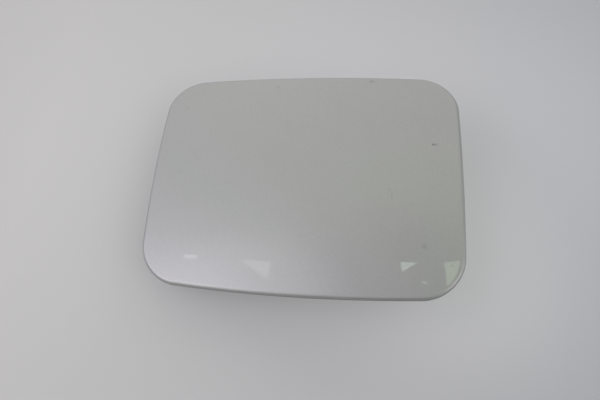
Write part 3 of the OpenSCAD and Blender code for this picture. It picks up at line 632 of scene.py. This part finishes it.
def make_inner_sheet():
    """The pressed inner panel with its holes."""
    c = PANEL_COUNTS
    grid, rings = inner_face(0, c)
    under, under_rings = inner_face(INNER_T, c)
    sheet = Sheet()
    loop = sheet.loft(grid_edge(sheet.grid(grid)), rings + under_rings[::-1])
    sheet.bridge(loop, grid_edge(sheet.grid(under, flip=True)))
    plain = sheet.mesh("inner_sheet", from_panel)

    drills = Sheet()
    a = circle(DRILL_STEP)
    for at, r in panel_holes():
        ring = np.array(at) + r * np.stack([np.cos(a), np.sin(a)], -1)
        drills.tube([with_z(ring, DRILL_END), with_z(ring, DRILL_TOP)])
    cutter = bpy.data.objects.new("drills", drills.mesh("drills", from_panel))
    blank = bpy.data.objects.new("blank", plain)
    for obj in (cutter, blank):
        bpy.context.scene.collection.objects.link(obj)
    cut = blank.modifiers.new("holes", "BOOLEAN")
    cut.operation, cut.solver, cut.object = "DIFFERENCE", "EXACT", cutter
    bpy.context.view_layer.update()
    shown = blank.evaluated_get(bpy.context.evaluated_depsgraph_get())
    made = bpy.data.meshes.new_from_object(shown)
    bpy.data.objects.remove(blank)
    bpy.data.objects.remove(cutter)
    made.materials.clear()
    return made


outer = piece("skin", make_skin(), MATERIALS["body_paint"], "door", "outer_skin")
inner = piece("inner_sheet", make_inner_sheet(), MATERIALS["inner_paint"], "door", "inner_panel")


# Spring

COIL_R = PIN_R + RUN_FIT + SLEEVE_WALL + SIDE_GAP + WIRE_D / 2
WEB_UNDER = PIN_DEPTH - CHANNEL_DEPTH - INNER_T - SEAT_GAP - ARM_T

# Points along the coil, degrees between the wire's sides, radius of its bends, and how much is left
# of the wire's thickness at its ends
COIL_POINTS, WIRE_STEP, BEND_R, END_SHARE = 260, 22.5, 1.5, 0.88


def door_turn(x, z):
    """A point of the closed door's frame, in X and Z from the pin."""
    c, s = math.cos(CLOSED_TILT), math.sin(CLOSED_TILT)
    return x * c - z * s, x * s + z * c


def rounded_path(points, radius, steps=6):
    """A path of straight runs with its corners rounded."""
    made = [points[0]]
    for before, p, after in zip(points, points[1:], points[2:]):
        back, ahead = np.linalg.norm(before - p), np.linalg.norm(after - p)
        u, v = (before - p) / back, (after - p) / ahead
        reach = min(radius, back / 2, ahead / 2)
        for t in np.linspace(0, 1, steps):
            start, end = (1 - t) ** 2 * (p + u * reach), t * t * (p + v * reach)
            made.append(start + 2 * t * (1 - t) * p + end)
    return made + [points[-1]]


def wire_line():
    """The middle of the spring's wire, from the base to the arm, and half the coil's length."""
    base = np.array([BASE_LEG, BRACKET_T + WIRE_D / 2 + SEAT_GAP - PIN_H])
    lip_z = WEB_UNDER - WIRE_D / 2 - SEAT_GAP
    lip = np.array(door_turn(LIP_LEG, lip_z))
    tip = np.array(door_turn(LIP_LEG + LEG_FOOT, lip_z))
    start = math.atan2(base[1], base[0]) - math.acos(COIL_R / np.linalg.norm(base))
    end = math.atan2(lip[1], lip[0]) + math.acos(COIL_R / np.linalg.norm(lip))
    end -= 2 * math.pi * COIL_TURNS
    half = abs(end - start) / (2 * math.pi) * (WIRE_D + COIL_GAP) / 2
    coil = []
    for t in np.linspace(0, 1, COIL_POINTS):
        a = start + (end - start) * t
        coil.append(np.array([COIL_R * math.cos(a), half * (2 * t - 1), COIL_R * math.sin(a)]))
    base_end = np.array([base[0] + LEG_FOOT, -half, base[1]])
    base_bend = np.array([base[0], -half, base[1]])
    lip_bend, lip_end = np.array([lip[0], half, lip[1]]), np.array([tip[0], half, tip[1]])
    first = rounded_path([base_end, base_bend, coil[0]], BEND_R)
    last = rounded_path([coil[-1], lip_bend, lip_end], BEND_R)
    return np.array(first[:-1] + coil + last[1:]), half


def make_spring():
    """The spring's round wire, and half the coil's length."""
    line, half = wire_line()
    around = circle(WIRE_STEP)
    rings = []
    for k, p in enumerate(line):
        ahead = line[min(k + 1, len(line) - 1)] - line[max(k - 1, 0)]
        ahead /= np.linalg.norm(ahead)
        side = np.cross(ahead, [0, 1, 0])
        side /= np.linalg.norm(side)
        up = np.cross(side, ahead)
        rings.append([p + WIRE_D / 2 * (side * math.cos(b) + up * math.sin(b)) for b in around])
    rings = np.array(rings)
    for end in (0, -1):
        rings[end] = line[end] + (rings[end] - line[end]) * END_SHARE
    sheet = Sheet()
    sheet.tube(list(rings))
    pin = np.array([PIN_REACH, 0.0, PIN_H])
    return sheet.mesh("spring_wire", lambda p: (p + pin) * MM), half


spring_mesh, spring_half = make_spring()
spring = piece("spring_wire", spring_mesh, MATERIALS["spring_steel"], None, "torsion_spring")
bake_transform(spring)


# Pieces that keep their solids

# Radius of the broken edges on each solid
EDGES = {
    "hinge_arm": 0.25, "hinge_bracket": 0.3, "latch_striker": 0.25, "cap_holder": 0.35,
    "stop_buffer": 0.4, "weld_nuts": 0.2, "arm_screws": 0.15, "pin_clip": 0.12,
    "upper_bush": 0.12, "lower_bush": 0.12, "spring_sleeve": 0.12,
    "upper_bumper": 0.2, "lower_bumper": 0.2, "striker_rivets": 0.1, "holder_rivets": 0.1,
    "hinge_pin": 0.1, "mastic_pads": 0.3,
}

# Points closer than this many metres are one point, faces that turn less than the first angle are
# one face, and edges sharper than the second are broken
WELD_REACH, FLAT_ANGLE, BREAK_ANGLE = 1e-6, 0.6, 34


def dress(name, edge):
    """Gives a solid its material and softly broken edges."""
    obj = frame["nodes"][name]
    rows = frame["record"]["subparts"]
    slot_name = next(row["material_slot"] for row in rows if row["node"] == name)
    for slot in obj.material_slots:
        slot.material = MATERIALS[slot_name]
    obj.data.shade_smooth()
    weld = obj.modifiers.new("weld", "WELD")
    weld.merge_threshold = WELD_REACH
    flat = obj.modifiers.new("flat", "DECIMATE")
    flat.decimate_type, flat.angle_limit = "DISSOLVE", math.radians(FLAT_ANGLE)
    bevel = obj.modifiers.new("edges", "BEVEL")
    bevel.width, bevel.segments = edge * MM, 2
    bevel.limit_method, bevel.angle_limit = "ANGLE", math.radians(BREAK_ANGLE)
    bevel.use_clamp_overlap = True
    shade = obj.modifiers.new("shade", "WEIGHTED_NORMAL")
    shade.keep_sharp = True


for node_name, edge_r in EDGES.items():
    dress(node_name, edge_r)


# Stage, light and camera

# Half a side of the floor, and how far it lies under the mounting face, so that no two faces meet
FLOOR_HALF, FLOOR_DROP = 4000, 0.04

# The floor's painted fall-off of light: its lightest place, its turn and reach, the share of black
# that it nears far away, the tones at its left and right, and how far from the middle they are
# reached
FLOOR_AT, FLOOR_TURN, FLOOR_SIZE, FLOOR_DARK = (80, 57), 12, (468, 268), 0.35
FLOOR_LEFT, FLOOR_RIGHT, FLOOR_SPAN = (0.634, 0.622, 0.625), (0.396, 0.404, 0.429), 200

# A painted pool of light on the floor round the door, lightening the shadow under the raised door:
# its middle, turn and reach, and share of white
PAINTED_GLOW_AT, PAINTED_GLOW_TURN, PAINTED_GLOW_SIZE, PAINTED_GLOW_SHARE = (13, -10), -32, (144, 98), 0.260

# Soft lights in the sky: azimuth and height they come from, inner and outer angle, and light
SKY_BASE = (0.377, 0.385, 0.368)
SKY = [
    (0, 25, 4, 24, (0.400, 0.400, 0.400)),
    (20, 60, 3, 14, (0.300, 0.300, 0.300)),
    (90, 35, 8, 45, (0.350, 0.341, 0.342)),
    (105, 70, 3, 18, (0.135, 0.177, 0.010)),
    (120, 84, 2, 16, (-0.164, -0.057, -0.183)),
    (125, 18, 6, 35, (0.280, 0.263, 0.279)),
    (138, 76, 2, 14, (-0.194, -0.344, -0.073)),
    (150, 50, 5, 30, (0.176, 0.208, 0.153)),
    (172, 62, 3, 14, (0.817, 0.774, 0.876)),
    (180, 30, 8, 45, (0.235, 0.192, 0.303)),
    (188, 48, 4, 20, (1.047, 0.995, 1.130)),
    (198, 40, 3, 24, (0.506, 0.482, 0.541)),
    (213, 38, 3, 19, (0.724, 0.711, 0.730)),
    (222, 50, 2, 12, (0.700, 0.700, 0.700)),
    (235, 30, 3, 16, (0.600, 0.600, 0.600)),
    (272, 10, 5, 35, (-0.293, -0.300, -0.295)),
    (334, 30, 4, 24, (1.000, 1.001, 1.000)),
    (337, 64, 4, 18, (0.468, 0.490, 0.456)),
]

# What the camera sees of the sky
BACKGROUND = (0.43, 0.435, 0.44)

# Suns that the gloss doesn't see: azimuth, height, width of the sun and strength
SUNS = [(276, 66, 12, 0.92), (330, 22, 60, 0.2), (45, 12, 60, 0.66)]

# Windows that only the gloss sees: corners in X and Y, at one height, and their light
WINDOW_H = 600.0
WINDOWS = {
    "window_bar": (
        [(-512.2, 74.4), (-480.3, 73.3), (-478.7, 63.0), (-510.5, 64.5)],
        (3.6, 3.6, 3.75),
    ),
    "window_wedge": ([(-378.7, 62.0), (-312.1, 58.3), (-317.0, 13.8)], (2.7, 2.7, 2.7)),
    "window_triangle": ([(-73.3, 65.3), (-44.5, 65.3), (-69.3, 43.4)], (2.9, 3.4, 3.2)),
    "window_tall": (
        [(-2.6, 67.1), (27.6, 74.1), (26.1, 47.9), (13.6, 18.2), (3.7, 16.4), (1.8, 50.7)],
        (2.0, 2.5, 1.7),
    ),
    "window_spot": ([(-37.6, 24.2), (-28.7, 25.3), (-28.5, 17.3)], (2.8, 2.9, 2.7)),
}

# The photograph's viewpoint, which was fitted to the door's outline: the camera's tilt from
# straight down, its azimuth, and its distance from the point that it aims at
SENSOR_W, LENS = 36.0, 33.6
CAMERA_TILT, CAMERA_AZIMUTH, CAMERA_AWAY = 23.565, 6.300, 304.959
CAMERA_AIM = (-36.619, -8.877, 20.0)


def make_floor():
    """A pale floor with painted light: it darkens from left to right and away from its lightest
    place, as light falls off, and a painted pool of light lightens it round the door.
    """
    s = Shader("floor", Roughness=0.75)
    across = s.node("ShaderNodeSeparateXYZ")
    s.put(across.inputs[0], s.place)
    edge = FLOOR_SPAN * MM
    # Painted fall-off of light: lighter at the left, darker at the right
    side = s.span(across.outputs["X"], -edge, edge, smooth=False)
    tone = s.mix(side, (*FLOOR_LEFT, 1), (*FLOOR_RIGHT, 1))
    # Painted fall-off of light: darker towards black away from the floor's lightest place
    away = s.floor_ellipse(FLOOR_AT, FLOOR_TURN, FLOOR_SIZE)
    far = s.maths("MULTIPLY", away, away)
    painted_falloff = s.maths("DIVIDE", far, s.maths("MULTIPLY_ADD", far, 1 / FLOOR_DARK, 1.0))
    # Painted light: the floor lightens towards white round the door, where the door's shadow falls
    near = s.floor_ellipse(PAINTED_GLOW_AT, PAINTED_GLOW_TURN, PAINTED_GLOW_SIZE)
    glow = s.span(near, 0.0, 1.0, PAINTED_GLOW_SHARE, 0.0)
    s.set("Base Color", s.mix(glow, s.mix(painted_falloff, tone, grey(0)), grey(1)))
    return s.material


def flat_face(name, corners, height, material):
    """An object of one level face."""
    mesh = bpy.data.meshes.new(name)
    points = [(x * MM, y * MM, height * MM) for x, y in corners]
    mesh.from_pydata(points, [], [range(len(corners))])
    mesh.materials.append(material)
    obj = bpy.data.objects.new(name, mesh)
    bpy.context.scene.collection.objects.link(obj)
    return obj


def make_stage():
    half = FLOOR_HALF
    corners = [(-half, -half), (half, -half), (half, half), (-half, half)]
    floor = flat_face("floor", corners, 0, make_floor())
    floor.location.z = -FLOOR_DROP * MM


def make_windows():
    for name, (corners, colour) in WINDOWS.items():
        glow = bpy.data.materials.new(name)
        glow.use_nodes = True
        n = Nodes(glow.node_tree)
        n.finish("ShaderNodeOutputMaterial", n.chain("ShaderNodeEmission", [(*colour, 1)]))
        window = flat_face(name, corners, WINDOW_H, glow)
        window.visible_camera = window.visible_diffuse = window.visible_shadow = False


def make_world():
    world = bpy.data.worlds.new("soft_sky")
    world.use_nodes = True
    bpy.context.scene.world = world
    n = Nodes(world.node_tree)
    ahead = n.node("ShaderNodeTexCoord").outputs["Generated"]
    base = n.node("ShaderNodeRGB")
    base.outputs[0].default_value = (*SKY_BASE, 1)
    total = base.outputs[0]
    for azimuth, height, inside, outside, light in SKY:
        a, h = math.radians(azimuth), math.radians(height)
        towards = (math.cos(a) * math.cos(h), math.sin(a) * math.cos(h), math.sin(h))
        near = n.vectors("DOT_PRODUCT", ahead, towards, output="Value")
        fade = n.span(near, math.cos(math.radians(outside)), math.cos(math.radians(inside)))
        total = n.vectors("MULTIPLY_ADD", fade, light, total)
    seen = n.node("ShaderNodeLightPath").outputs["Is Camera Ray"]
    shown = n.mix(seen, total, (*BACKGROUND, 1))
    n.finish("ShaderNodeOutputWorld", n.chain("ShaderNodeBackground", [shown]))


def make_suns():
    for azimuth, height, width, strength in SUNS:
        data = bpy.data.lights.new("soft_sun", "SUN")
        data.energy, data.angle = strength, math.radians(width)
        sun = bpy.data.objects.new("soft_sun", data)
        sun.rotation_euler = (math.radians(90 - height), 0, math.radians(azimuth + 90))
        bpy.context.scene.collection.objects.link(sun)
        sun.visible_glossy = False


def make_camera():
    data = bpy.data.cameras.new("camera")
    data.sensor_width, data.lens = SENSOR_W, LENS
    camera = bpy.data.objects.new("camera", data)
    bpy.context.scene.collection.objects.link(camera)
    tilt, azimuth = math.radians(CAMERA_TILT), math.radians(CAMERA_AZIMUTH)
    across = math.sin(tilt)
    view = Vector((-math.sin(azimuth) * across, math.cos(azimuth) * across, -math.cos(tilt)))
    camera.rotation_euler = (tilt, 0, azimuth)
    camera.location = Vector(CAMERA_AIM) * MM - CAMERA_AWAY * MM * view
    bpy.context.scene.camera = camera


make_stage()
make_windows()
make_world()
make_suns()
make_camera()
bpy.context.scene.view_settings.view_transform = "Standard"
